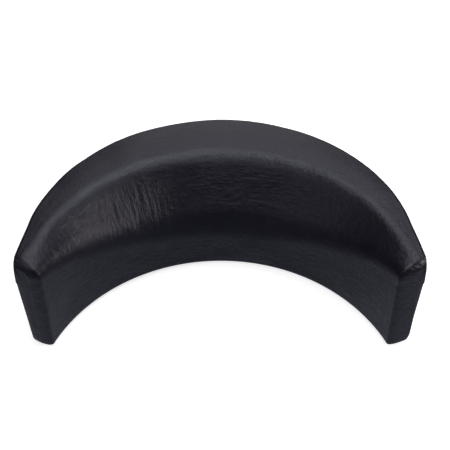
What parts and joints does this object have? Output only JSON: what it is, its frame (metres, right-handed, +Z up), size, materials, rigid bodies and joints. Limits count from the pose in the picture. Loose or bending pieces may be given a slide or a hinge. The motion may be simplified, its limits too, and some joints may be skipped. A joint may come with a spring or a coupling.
{
  "type": "chair headrest attachment",
  "caption": "Crescent headrest pad that cups the neck or head: vinyl over foam on a plywood base, bolted to a chair through T-nuts in its underside.",
  "frame": {"origin": "centre of the bounding box in plan, at the bottom face of the underside cover", "axes": "+X across the width, +Y towards the closed back of the crescent, +Z up out of the top band; the opening for the neck faces -Y"},
  "size_m": [0.3024, 0.1732, 0.0905],
  "materials": {
    "vinyl": "black leather-grain vinyl, satin",
    "foam": "open-cell polyurethane foam, unpainted",
    "plywood": "birch plywood, unfinished",
    "underside_fabric": "black non-woven fabric, matt",
    "zinc_plated_steel": "bright zinc plate",
    "staple_wire": "galvanised wire"
  },
  "bodies": {
    "root": {"vinyl_cover": "vinyl", "foam_core": "foam", "base_board": "plywood", "underside_cover": "underside_fabric", "tee_nut_1": "zinc_plated_steel", "tee_nut_2": "zinc_plated_steel", "tee_nut_3": "zinc_plated_steel", "tee_nut_4": "zinc_plated_steel", "hem_staple_01": "staple_wire", "hem_staple_02": "staple_wire", "hem_staple_03": "staple_wire", "hem_staple_04": "staple_wire", "hem_staple_05": "staple_wire", "hem_staple_06": "staple_wire", "hem_staple_07": "staple_wire", "hem_staple_08": "staple_wire", "hem_staple_09": "staple_wire", "hem_staple_10": "staple_wire", "hem_staple_11": "staple_wire", "hem_staple_12": "staple_wire", "hem_staple_13": "staple_wire", "hem_staple_14": "staple_wire", "hem_staple_15": "staple_wire", "hem_staple_16": "staple_wire", "hem_staple_17": "staple_wire", "hem_staple_18": "staple_wire", "hem_staple_19": "staple_wire", "hem_staple_20": "staple_wire", "hem_staple_21": "staple_wire", "hem_staple_22": "staple_wire", "cover_staple_01": "staple_wire", "cover_staple_02": "staple_wire", "cover_staple_03": "staple_wire", "cover_staple_04": "staple_wire", "cover_staple_05": "staple_wire", "cover_staple_06": "staple_wire", "cover_staple_07": "staple_wire", "cover_staple_08": "staple_wire", "cover_staple_09": "staple_wire", "cover_staple_10": "staple_wire", "cover_staple_11": "staple_wire", "cover_staple_12": "staple_wire", "cover_staple_13": "staple_wire", "cover_staple_14": "staple_wire", "cover_staple_15": "staple_wire", "cover_staple_16": "staple_wire", "cover_staple_17": "staple_wire", "cover_staple_18": "staple_wire", "cover_staple_19": "staple_wire", "cover_staple_20": "staple_wire"}
  },
  "joints": []
}
